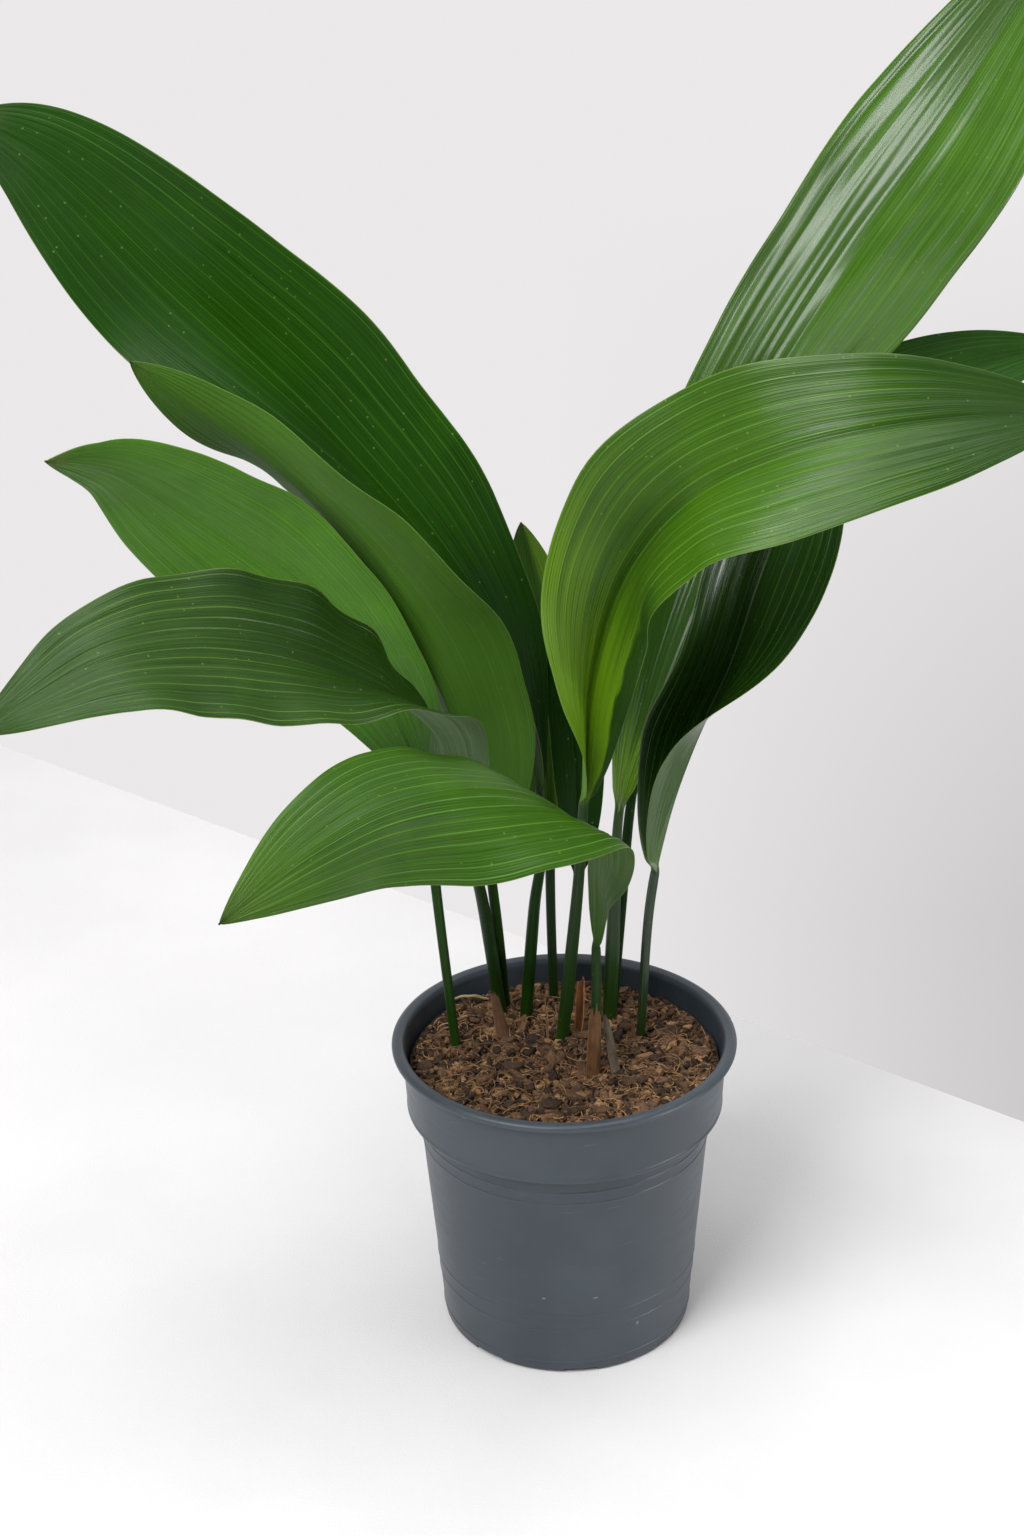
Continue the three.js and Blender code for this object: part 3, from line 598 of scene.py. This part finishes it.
def leaf_shells(spec, seed):
    """The upper and the lower face of a leaf, and t, u, flatness and distance on them."""
    line, heading, run = spline(spec["line"])
    length = run[-1]
    rows = leaf_rows(length, spec["stalk"])
    inside = np.clip(rows, 0, length)
    middle = sampled(line, run, inside)
    toward = unit(sampled(heading, run, inside))
    middle = middle + np.minimum(rows, 0)[:, None] * heading[0]
    t = np.clip((rows - spec["stalk"]) / (length - spec["stalk"]), 0, 1)
    face = np.asarray(spec["face"], float)
    normal = unit(face - (toward @ face)[:, None] * toward)
    left = np.cross(normal, toward)
    roll = np.radians(along(spec["roll"], t))[:, None]
    left, up = left * np.cos(roll) + normal * np.sin(roll), normal * np.cos(roll) - left * np.sin(roll)

    widest = spec["rise"] / (spec["rise"] + spec["fall"])
    width = spec["half"] * (t / widest) ** spec["rise"] * ((1 - t) / (1 - widest)) ** spec["fall"]
    core = mix(STALK_RADIUS, TIP_RADIUS, t ** 0.7)
    flat = smoothstep(width / core, 1, 2.6)
    swell = mix(spec["stem"], STALK_RADIUS, smoothstep(rows / spec["stalk"], 0.3, 1.0))
    core = np.where(t > 0, core, swell)

    u = np.linspace(1, -1, COLUMNS)
    side = np.where(u >= 0, 1.0, -1.0)
    share = np.abs(u)
    t2, u2, flat2 = t[:, None], u[None, :], flat[:, None]
    free = np.sin(math.pi * t2)   # 0 at both ends of the blade, 1 halfway
    count, depth, phase = spec["wave"]
    swing = np.sin(2 * math.pi * count * t2 + phase + np.where(side > 0, 0, 1.9))
    wave = depth * swing * share ** 2 * flat2 * free
    rim = ripple(t2 * 60, side * 9.0, seed + 31, 5)
    ruffle = RUFFLE * rim * smoothstep(share, 0.7, 1.0) * flat2 * free
    pucker = spec["pucker"] * flat2 * free ** 0.5 * (
        0.75 * ripple(u2 * 7.5, t2 * 7.0, seed) + 0.35 * ripple(u2 * 19.0, t2 * 9.0, seed + 7))
    ribs = RIB_DEPTH * np.cos(math.pi * RIBS * u2) * flat2 * smoothstep(1 - share, 0.0, 0.1)
    relief = wave + ruffle + pucker + ribs
    curl = np.radians(np.where(side > 0, *spec["curl"]))[None, :] * flat2 * share
    bow = np.sinc(curl / 2 / math.pi)
    lift = np.radians(along(spec["lift"], t))[:, None] * flat2
    wander = WANDER * ripple(t2 * 9, side * 5, seed + 4, 4)
    nicks = NICKS * ripple(t2 * 30, side * 5, seed + 3, 5)
    edge = 1 + (wander + nicks) * free ** 0.5

    shells = []
    angle = math.pi / 2 * u2 * 0.975
    out = mix(core[:, None] * np.sin(angle), np.maximum(width, core)[:, None] * u2 * edge, flat2)
    offset = np.abs(out)
    for way in (1, -1):
        body = BLADE_THICKNESS / 2 * mix(1.0, THIN_EDGE, smoothstep(share, 0.85, 1.0))
        if way > 0:
            crease = -bell(offset, *GROOVE) * (1 - t2)
            channel = -bell(u2, *CHANNEL) * np.clip(rows[:, None] / 40 + 0.6, 0, 1)
        else:
            crease = bell(offset, *KEEL) * (1 - t2)
            channel = 0.0
        depth_here = mix(core[:, None] * np.cos(angle) + channel, body + crease, flat2)
        across = offset * bow
        slope, tilt = lift + curl / 2, lift + curl
        sideways = side * (np.cos(slope) * across - np.sin(tilt) * way * depth_here)
        upwards = np.sin(slope) * across + np.cos(tilt) * way * depth_here + relief
        shells.append(middle[:, None] + left[:, None] * sideways[..., None]
                      + up[:, None] * upwards[..., None])
    return shells, t2, u2, flat2, rows[:, None]


def lime_and_lit_mask(name, t, u):
    """Where a blade is yellow-green: lime streaks that follow the veins, and painted light on the tip of
    leaf_front and on the right half of leaf_back.
    """
    jag = 0.05 * ripple(u * 30, t * 3, 61)
    if name == "leaf_arching":
        ragged = 0.10 * ripple(t * 45, u * 4, 8)
        along_left = t - 0.12 * np.maximum(u, 0)
        return 0.9 * smoothstep(along_left + jag, 0.40, 0.14) * smoothstep(-u + ragged, 0.76, 0.66)
    if name == "leaf_high_right":
        return 0.8 * smoothstep(t + jag, 0.14, 0.05)
    # painted light: the tip is lighter where the light falls on it
    if name == "leaf_front":
        return 0.15 * smoothstep(t + jag, 0.80, 0.97)
    # painted light: the right half shows yellow-green as if lit from behind
    if name == "leaf_back":
        return 0.5 * smoothstep(-u + jag, 0.1, 0.5)
    if name == "leaf_low_right":
        return 0.5 * smoothstep(t + jag, 0.10, 0.02)
    return 0.0


def painted_shade_mask(name, t, u):
    """Painted shade: where a blade is darker green because it lies in shadow, at its foot between other
    leaves, along a crease or on a side turned from the light; leaf_young is shaded all over.
    """
    jag = 0.05 * ripple(u * 24, t * 4, 71)
    if name == "leaf_arching":
        ragged = 0.10 * ripple(t * 45, u * 4, 8)
        patch = smoothstep(t, 0.48, 0.38) * smoothstep(-u + ragged, 0.66, 0.74)
        return 0.95 * patch + 0.90 * smoothstep(t + jag, 0.66, 0.88)
    if name == "leaf_curled_tip":
        return 0.85 * smoothstep(t + 0.5 * jag, 0.26, 0.12)
    if name == "leaf_low_left":
        return 0.75 * smoothstep(t + 0.10 * u + jag, 0.62, 0.44)
    if name == "leaf_keeled":
        fold = bell(u + 0.12, 0.55, 0.16) * smoothstep(t + jag, 0.25, 0.5)
        return np.maximum(fold, 0.7 * smoothstep(t + 0.05 * u + jag, 0.36, 0.20))
    if name == "leaf_young":
        return 0.9
    if name == "leaf_high_left":
        return np.maximum(0.35 * smoothstep(u + jag, -0.1, 0.5), 0.8 * smoothstep(t + jag, 0.42, 0.22))
    if name == "leaf_high_right":
        return 0.9 * smoothstep(t + jag, 0.40, 0.30) * smoothstep(t + jag, 0.08, 0.14)
    return 0.0


def make_leaf(name, spec, seed):
    shells, t, u, flat, rows = leaf_shells(spec, seed)
    masks = {
        "lime_and_lit": lime_and_lit_mask(name, t, u),
        # painted shade on the blade
        "shade": painted_shade_mask(name, t, u),
        "stalk": 1 - flat,
        "foot": smoothstep(rows, 30.0, 0.0),
        "dry": smoothstep(t, 0.955, 0.985) * (0.45 if name == "leaf_curled_tip" else 0.1),
        "under": (0.0, flat),
    }
    sheet_piece(name, shells, u, t, masks, leaf_material(name, LOOKS[spec["look"]]))


# ---- Pot ----

def body_radius(z):
    return mix(POT["foot"], POT["body_top"], z / POT["collar_z"])


def rounded(points, radius, steps):
    """A profile with its corners rounded; the two ends stay."""
    done = [np.array(points[0], float)]
    for before, here, after in zip(points, points[1:], points[2:]):
        b, h, a = (np.array(p, float) for p in (before, here, after))
        to_b, to_a = b - h, a - h
        cut = min(radius, np.linalg.norm(to_b) * 0.45, np.linalg.norm(to_a) * 0.45)
        start, end = h + unit(to_b) * cut, h + unit(to_a) * cut
        for k in range(steps + 1):
            f = k / steps
            done.append((1 - f) ** 2 * start + 2 * f * (1 - f) * h + f * f * end)
    done.append(np.array(points[-1], float))
    return done


def pot_profile():
    """Radius and height round the pot's wall, from the middle of its underside to its floor."""
    p = POT
    wall, rim, top = p["wall"], p["rim"], p["height"]
    lip, ledge = top - p["lip"], p["collar_z"]
    collar_top, collar_foot, body_top = p["collar_top"], p["collar_foot"], p["body_top"]
    outside = [(0, 0), (p["foot"] - p["corner"], 0), (body_radius(p["corner"]), p["corner"])]
    outside += [(body_radius(z) + out, z) for z, out in FOOT_BEAD]
    for z in MOULD_LINES:
        outside += [(body_radius(z + dz) + out, z + dz) for dz, out in MOULD_LINE]
    outside += [(body_top, ledge - wall), (collar_foot - 0.9, ledge - 0.9),
                (collar_foot + 0.25, ledge + 0.5), (collar_foot + 0.3, ledge + 1.8),
                (collar_foot + 0.05, ledge + 2.6), (collar_top, lip - 0.3), (rim - 2.4, lip + 0.2),
                (rim - 0.2, lip + 1.4), (rim, lip + 2.6), (rim - 0.4, top - 1.1), (rim - 2.2, top),
                (collar_top - 0.3, top - 0.7),
                (collar_top - wall, top - 3.2), (collar_foot - wall, ledge + wall * 1.5),
                (body_top - wall, ledge), (body_radius(p["floor"]) - wall, p["floor"]), (0, p["floor"])]
    return rounded(outside, 0.9, 3)


def circle(sides):
    return np.arange(sides) * 2 * math.pi / sides


def turned_mesh(profile, sides):
    """A closed mesh turned round Z from a profile that starts and ends on the axis."""
    ring = circle(sides)
    points, faces = [(0, 0, profile[0][1])], []
    for r, z in profile[1:-1]:
        points += [(r * math.cos(a), r * math.sin(a), z) for a in ring]
    points.append((0, 0, profile[-1][1]))
    faces += [(0, 1 + (i + 1) % sides, 1 + i) for i in range(sides)]
    faces += grid_faces(len(profile) - 2, sides, 1, closed=True)
    top, last = len(points) - 1, len(points) - 1 - sides
    faces += [(top, last + i, last + (i + 1) % sides) for i in range(sides)]
    return mesh_of("pot_shell", points, faces)


def cutters():
    """The notches under the pot's foot and the holes through its floor, as mesh objects."""
    d = DRAINS
    reach = ((d["inner"], POT["foot"] + 4), (-d["width"] / 2, d["width"] / 2), (-2, d["height"]))
    box = [(x, y, z) for z in reach[2] for y in reach[1] for x in reach[0]]
    box_faces = [(0, 2, 3, 1), (4, 5, 7, 6), (0, 1, 5, 4), (2, 6, 7, 3), (0, 4, 6, 2), (1, 3, 7, 5)]
    sides = 24
    tube_points = [(d["hole_at"] + d["hole"] * math.cos(a), d["hole"] * math.sin(a), z)
                   for z in (-3, POT["floor"] + 2) for a in circle(sides)]
    tube_faces = [tuple(range(sides - 1, -1, -1)), tuple(range(sides, 2 * sides))]
    tube_faces += grid_faces(2, sides, closed=True)
    made = []
    for i in range(d["count"]):
        turn = Matrix.Rotation(math.radians(d["first"] + 360 / d["count"] * i), 4, "Z")
        for points, faces in ((box, box_faces), (tube_points, tube_faces)):
            mesh = mesh_of("cutter", points, faces)
            mesh.transform(turn)
            made.append(add_object("cutter", mesh))
    return made


def make_pot():
    pot = add_object("pot_shell", turned_mesh(pot_profile(), 176))
    tools = cutters()
    for tool in tools:
        cut = pot.modifiers.new("cut", "BOOLEAN")
        cut.operation = "DIFFERENCE"
        cut.solver = "EXACT"
        cut.object = tool
    bpy.context.view_layer.update()
    pot.data = bpy.data.meshes.new_from_object(pot.evaluated_get(bpy.context.evaluated_depsgraph_get()))
    pot.modifiers.clear()
    for tool in tools:
        bpy.data.objects.remove(tool)
    dress(pot, pot_material(), "pot", sharp=38)


# ---- Soil ----

def soil_height(x, y):
    """The frame's soil surface."""
    inward = 1 - np.hypot(x, y) / POT["collar_foot"]
    swell = np.sin(x * 0.11 + 1.3) * np.cos(y * 0.13 - 0.4) + np.sin(x * 0.23 - y * 0.19)
    return SOIL_EDGE + SOIL_CROWN * inward + swell * SOIL_LUMP * 0.5


def soil_body():
    """The filled inside of the pot: a crumbly top on a plain tapered plug."""
    rings, sides = 110, 300
    wall = POT["wall"] + SOIL_CLEARANCE
    wide = POT["collar_foot"] - wall
    ring = circle(sides)
    radii = wide * np.linspace(1, 0.004, rings)
    x = radii[:, None] * np.cos(ring)
    y = radii[:, None] * np.sin(ring)
    crumbs = sum(high * ripple(x * fine, y * fine, seed, 9, 1.3) for high, fine, seed in CRUMBS)
    fade = smoothstep(wide - np.hypot(x, y), 0.0, 2.0)
    z = soil_height(x, y) + crumbs * fade - 0.6
    top = np.stack([x, y, z], -1).reshape(-1, 3)
    sides_down = []
    for r, level in ((wide, POT["collar_z"] + 3.2), (POT["body_top"] - wall, POT["collar_z"] + 0.4),
                     (body_radius(POT["floor"]) - wall, POT["floor"] + 0.4)):
        sides_down.append(np.stack([r * np.cos(ring), r * np.sin(ring), np.full(sides, level)], -1))
    points = np.vstack([*reversed(sides_down), top])
    faces = grid_faces(rings + 3, sides, closed=True)
    faces.append(tuple(range(sides - 1, -1, -1)))
    last = len(points) - sides
    faces.append(tuple(range(last, last + sides)))
    tone = np.concatenate([np.zeros(3 * sides), (0.16 + 0.16 * crumbs).ravel()])
    return points, faces, tone


def turn_frame(rng, steep):
    """A random frame whose third axis leans at most `steep` radians from up."""
    lean, way, spin = rng.uniform(0, steep), rng.uniform(0, 2 * math.pi), rng.uniform(0, 2 * math.pi)
    up = np.array([math.sin(lean) * math.cos(way), math.sin(lean) * math.sin(way), math.cos(lean)])
    side = unit(np.cross(up, [math.cos(spin), math.sin(spin), 0.1]))
    return side, np.cross(up, side), up


def chip(rng, centre, length, width, depth, steep):
    """A split flake of bark: an uneven outline with a worn upper face."""
    side, fore, up = turn_frame(rng, steep)
    corners = rng.integers(5, 8)
    angles = (np.arange(corners) + rng.uniform(-0.32, 0.32, corners)) * 2 * math.pi / corners
    reach = rng.uniform(0.72, 1.12, corners)
    loops = []
    for level, shrink in CHIP_RINGS:
        warp = rng.uniform(-0.16, 0.16, corners)
        lx = np.cos(angles) * reach * shrink * length / 2
        ly = np.sin(angles) * reach * shrink * width / 2
        lz = (level + warp) * depth / 2
        loops.append(centre + lx[:, None] * side + ly[:, None] * fore + lz[:, None] * up)
    points = np.vstack(loops)
    faces = [tuple(range(corners - 1, -1, -1)), tuple(range(3 * corners, 4 * corners))]
    faces += grid_faces(4, corners, closed=True)
    return points, faces


def fibre(rng, start, length, thickness):
    """A curly coir hair lying on the soil."""
    steps = max(6, int(length / 1.6))
    heading = rng.uniform(0, 2 * math.pi)
    bend = rng.uniform(-FIBRE_BEND, FIBRE_BEND)
    x, y = start
    line = []
    hover = rng.uniform(0.6, 3.0)
    for k in range(steps + 1):
        f = k / steps
        z = soil_height(x, y) + 0.4 + hover * math.sin(math.pi * f) ** 1.5
        line.append((x, y, z))
        heading += (bend + rng.uniform(-0.22, 0.22)) * length / steps / 3
        x += math.cos(heading) * length / steps
        y += math.sin(heading) * length / steps
        reach = math.hypot(x, y)
        if reach > FIBRE_LIMIT:
            x, y = x * FIBRE_LIMIT / reach, y * FIBRE_LIMIT / reach
    return tube(np.array(line), thickness / 2, 5)


def tube(line, radius, sides, taper=0.5):
    """A closed tube along a line, thinner at its ends."""
    count = len(line)
    heading = unit(np.gradient(line, axis=0))
    side = unit(np.cross(heading, [0.13, 0.21, 1.0]))
    up = np.cross(side, heading)
    f = np.linspace(0, 1, count)
    width = radius * (1 - taper * np.abs(2 * f - 1) ** 3)
    ring = circle(sides)[:, None]
    out = np.cos(ring) * side[:, None] + np.sin(ring) * up[:, None]
    points = (line[:, None] + width[:, None, None] * out).reshape(-1, 3)
    faces = [tuple(range(sides)), tuple(range(count * sides - 1, (count - 1) * sides - 1, -1))]
    faces += grid_faces(count, sides, closed=True, flip=True)
    return points, faces


def scatter(rng, feet, reach):
    """A place on the soil, clear of the stalks' feet."""
    while True:
        r, a = reach * math.sqrt(rng.uniform(0, 1)), rng.uniform(0, 2 * math.pi)
        spot = np.array([r * math.cos(a), r * math.sin(a)])
        if np.min(np.linalg.norm(feet - spot, axis=1)) > STALK_CLEARANCE:
            return spot


def make_soil():
    rng = np.random.default_rng(SEED)
    feet = np.array([spec["line"][0][:2] for spec in LEAVES.values()], float)
    first_points, faces, first_tone = soil_body()
    points, tone, starts = [first_points], [first_tone], [len(first_points)]

    def add(made, shade):
        points.append(made[0])
        faces.extend(tuple(i + starts[-1] for i in face) for face in made[1])
        tone.append(np.full(len(made[0]), shade))
        starts.append(starts[-1] + len(made[0]))

    reach = POT["collar_foot"] - POT["wall"] - 1.2
    for count, lengths, wides, depths, steep, tones in CHIPS:
        for _ in range(count):
            length = rng.uniform(*lengths)
            x, y = scatter(rng, feet, reach - length * 0.42)
            rise = rng.uniform(-0.3, 0.7) * length * 0.35
            centre = np.array([x, y, soil_height(x, y) + rise])
            width, depth = length * rng.uniform(*wides), length * rng.uniform(*depths)
            add(chip(rng, centre, length, width, depth, steep), rng.uniform(*tones) ** 1.15)
    for _ in range(FIBRES):
        spot = scatter(rng, feet, reach - 4)
        add(fibre(rng, spot, rng.uniform(5, 22), rng.uniform(0.25, 0.6)), rng.uniform(0.72, 1.0))
    mesh_piece("potting_mix", np.vstack(points), faces, soil_material(), "soil",
               {"tone": np.concatenate(tone)}, sharp=35)


# ---- Dry sheaths and the twig ----
# foot, tip, width at both, the way the hollow side looks, curl in degrees; then the darker
# and the lighter of its two browns, linear.
SHEATHS = {
    "sheath_left": dict(
        foot=(-28, 12, 140), tip=(-35, 20, 171), widths=(10, 4), face=(-0.2, 1, 0.2), curl=70,
        low=(0.080, 0.034, 0.016), high=(0.230, 0.115, 0.060)),
    "sheath_orange": dict(
        foot=(8, 18, 140), tip=(10, 23, 174), widths=(7, 10), face=(-1, -0.3, 0.1), curl=50,
        low=(0.170, 0.055, 0.016), high=(0.420, 0.170, 0.055)),
    "sheath_thin": dict(
        foot=(-8, 10, 140), tip=(-9, 12, 169), widths=(3, 2.4), face=(1, 0.2, 0), curl=60,
        low=(0.160, 0.080, 0.040), high=(0.360, 0.200, 0.110)),
    "sheath_front": dict(
        foot=(14, -24, 140), tip=(15, -22, 182), widths=(9, 6), face=(0.1, 1, 0), curl=75,
        low=(0.070, 0.030, 0.012), high=(0.260, 0.125, 0.045)),
    "sheath_stub": dict(
        foot=(27, -20, 140), tip=(20, -10, 173), widths=(6, 4), face=(-0.4, 1, 0), curl=60,
        low=(0.085, 0.062, 0.040), high=(0.240, 0.190, 0.130)),
    "sheath_right": dict(
        foot=(35, 11, 140), tip=(34, 13, 156), widths=(4, 2.4), face=(0.8, 0.6, 0), curl=60,
        low=(0.110, 0.060, 0.028), high=(0.260, 0.150, 0.080)),
}
SHEATH_TWIST = 14
SHEATH_THICKNESS = 0.45
TWIG_LINE = [(-60, 48, 148.5), (-53, 50, 150), (-45, 50, 150.5), (-38, 49, 149)]
TWIG_RADIUS = 0.75
TWIG_BROWNS = (0.30, 0.22, 0.10), (0.62, 0.52, 0.30)


def make_sheath(name, spec, seed):
    rows, columns = 34, 21
    foot, tip = np.array(spec["foot"], float), np.array(spec["tip"], float)
    heading = unit(tip - foot)
    face = np.array(spec["face"], float)
    normal = unit(face - heading * (heading @ face))
    left = np.cross(normal, heading)
    f = np.linspace(0, 1, rows)[:, None]
    u = np.linspace(1, -1, columns)[None, :]
    twist = math.radians(SHEATH_TWIST) * np.sin(math.pi * f)
    curl = math.radians(spec["curl"]) * (1 - 0.4 * f)
    radius = mix(*spec["widths"], f) / 2 / curl
    ragged = 0.10 * ripple(u * 6, 0 * u, seed, 6) * smoothstep(f, 0.6, 1.0)
    crumple = 0.22 * ripple(u * 5, f * 9, seed + 5, 6)
    along_it = (f * (1 - 0.10 * u ** 2 * f) + ragged * f) * np.linalg.norm(tip - foot)
    s, c = np.sin(twist), np.cos(twist)
    shells = []
    for way in (1, -1):
        inner = radius - SHEATH_THICKNESS / 2 * way
        side = inner * np.sin(curl * u)
        rise = radius - inner * np.cos(curl * u) + crumple
        shells.append(foot + along_it[..., None] * heading + (side * c - rise * s)[..., None] * left
                      + (side * s + rise * c)[..., None] * normal)
    sheet_piece(name, shells, u, f, {"edge": smoothstep(np.abs(u), 0.8, 1.0)},
                dry_material(name, spec["low"], spec["high"]))


def make_twig():
    sides = 10
    line, _, run = spline(TWIG_LINE)
    places = np.linspace(0, run[-1], 40)
    line = sampled(line, run, places)
    line[:, 2] += 0.18 * np.sin(places * 0.9)
    points, faces = tube(line, TWIG_RADIUS, sides, 0.35)
    f = np.repeat(np.linspace(0, 1, len(line)), sides)
    u = np.tile(np.linspace(-1, 1, sides), len(line))
    mesh_piece("dry_twig", points, faces, dry_material("dry_twig", *TWIG_BROWNS), "twig",
               {"edge": np.zeros(len(u))}, np.stack([u, f], -1))


# ---- Floor, light and camera ----
# Focal length and height in the photograph's pixels; lengths in mm, turns in degrees.
FOCAL_PIXELS = 2500.0
PIXELS_HIGH = 1536.0
SENSOR = 36.0
CAMERA_AIM = (0.0, 0.0, 300.8)
CAMERA_AWAY = 1172.4
PITCH, YAW, ROLL = (math.radians(a) for a in (24.21, -1.12, -0.65))
FLOOR_EDGE = ((-440.0, 724.0), (264.0, 164.0))   # the table's far edge runs through these
FLOOR_REACH = 2600.0
ROOM_GREY = (0.18, 0.18, 0.18)
WALL_WHITE = (0.83, 0.81, 0.82)
CORNER_GREY = (0.16, 0.145, 0.145)
LIGHTS = (  # name, place and aim in metres, size, power
    ("window", (-1.2, -1.6, 2.1), (0, 0, 0.30), (1.5, 1.3), 76),
    ("top", (0.0, -0.25, 2.4), (0.0, -0.05, 0.3), (2.2, 1.8), 50),
    ("side", (1.7, -0.3, 0.8), (0, 0, 0.4), (0.9, 0.9), 2),
    ("glint", (0.95, -0.38, 0.12), (0.12, 0.07, 0.52), (0.30, 0.30), 4.0),
)


def make_camera():
    forward = np.array([0, math.cos(PITCH), -math.sin(PITCH)])
    up = np.array([0, math.sin(PITCH), math.cos(PITCH)])
    right = np.array([1.0, 0, 0])
    place = np.array(CAMERA_AIM) - forward * CAMERA_AWAY
    c, s = math.cos(YAW), math.sin(YAW)
    forward, right = c * forward + s * right, c * right - s * forward
    c, s = math.cos(ROLL), math.sin(ROLL)
    right, up = c * right + s * up, c * up - s * right
    data = bpy.data.cameras.new("camera")
    data.sensor_width = SENSOR
    data.lens = FOCAL_PIXELS / PIXELS_HIGH * SENSOR
    data.clip_start = 0.01
    data.clip_end = 50
    camera = add_object("camera", data)
    turn = Matrix((right, up, -forward)).transposed().to_4x4()
    camera.matrix_world = Matrix.Translation(Vector(place * MM)) @ turn
    bpy.context.scene.camera = camera


def make_floor():
    """A pale table top whose far edge slants across the view."""
    a, b = np.array(FLOOR_EDGE[0]), np.array(FLOOR_EDGE[1])
    way = unit(b - a)
    near = np.array([-way[1], way[0]])
    near = near if near[1] < 0 else -near
    along_edge, inward = way * FLOOR_REACH, near * FLOOR_REACH * 1.2
    corners = [a - along_edge, a + along_edge, a + along_edge + inward, a - along_edge + inward]
    points = [(x, y, z) for z in (0.0, -30.0) for x, y in corners]
    faces = [(0, 1, 2, 3), (7, 6, 5, 4)] + [(k, k + 4, (k + 1) % 4 + 4, (k + 1) % 4) for k in range(4)]
    floor = add_object("floor", mesh_of("floor", points, faces))
    paint = Paint("floor")
    weave = paint.noise(paint.place(), 900.0, 2.0)
    folds = paint.noise(paint.place(), 5.0, 3.0)
    color = paint.blend(paint.ramp(folds, 0.35, 0.7), (0.62, 0.612, 0.617), (0.66, 0.652, 0.657))
    height = paint.plus(paint.times(weave, 0.05), folds)
    floor.data.materials.append(paint.finish(color, 0.85, height, 0.004))


def make_light(name, place, aim, size, power):
    data = bpy.data.lights.new(name, "AREA")
    data.shape = "RECTANGLE"
    data.size, data.size_y = size
    data.energy = power
    light = add_object(name, data)
    light.location = place
    light.rotation_euler = (Vector(aim) - Vector(place)).to_track_quat("-Z", "Y").to_euler()


def make_world():
    """A pale wall behind, a darker room in front, and a shaded corner low on the right."""
    world = bpy.data.worlds.new("studio")
    bpy.context.scene.world = world
    world.use_nodes = True
    room = Nodes(world.node_tree)
    way = room.split(room.node("ShaderNodeTexCoord").outputs["Generated"])
    wall = room.blend(room.ramp(way["Y"], 0.10, 0.80), ROOM_GREY, WALL_WHITE)
    falls = [room.ramp(way[axis], start, end, kind="LINEAR")
             for axis, start, end in (("X", 0.0, 0.55), ("Z", -0.20, -0.46))]
    back = room.node("ShaderNodeBackground", Color=room.blend(room.times(*falls), wall, CORNER_GREY))
    room.node("ShaderNodeOutputWorld", Surface=back.outputs[0])


def make_studio():
    make_world()
    for light in LIGHTS:
        make_light(*light)
    bpy.context.scene.view_settings.view_transform = "Standard"


# ---- The plant ----

make_camera()
make_studio()
make_floor()
make_pot()
make_soil()
for number, (leaf, spec) in enumerate(LEAVES.items()):
    make_leaf(leaf, spec, 100 + 10 * number)
for number, (sheath, spec) in enumerate(SHEATHS.items()):
    make_sheath(sheath, spec, 400 + 10 * number)
make_twig()

bpy.context.view_layer.update()
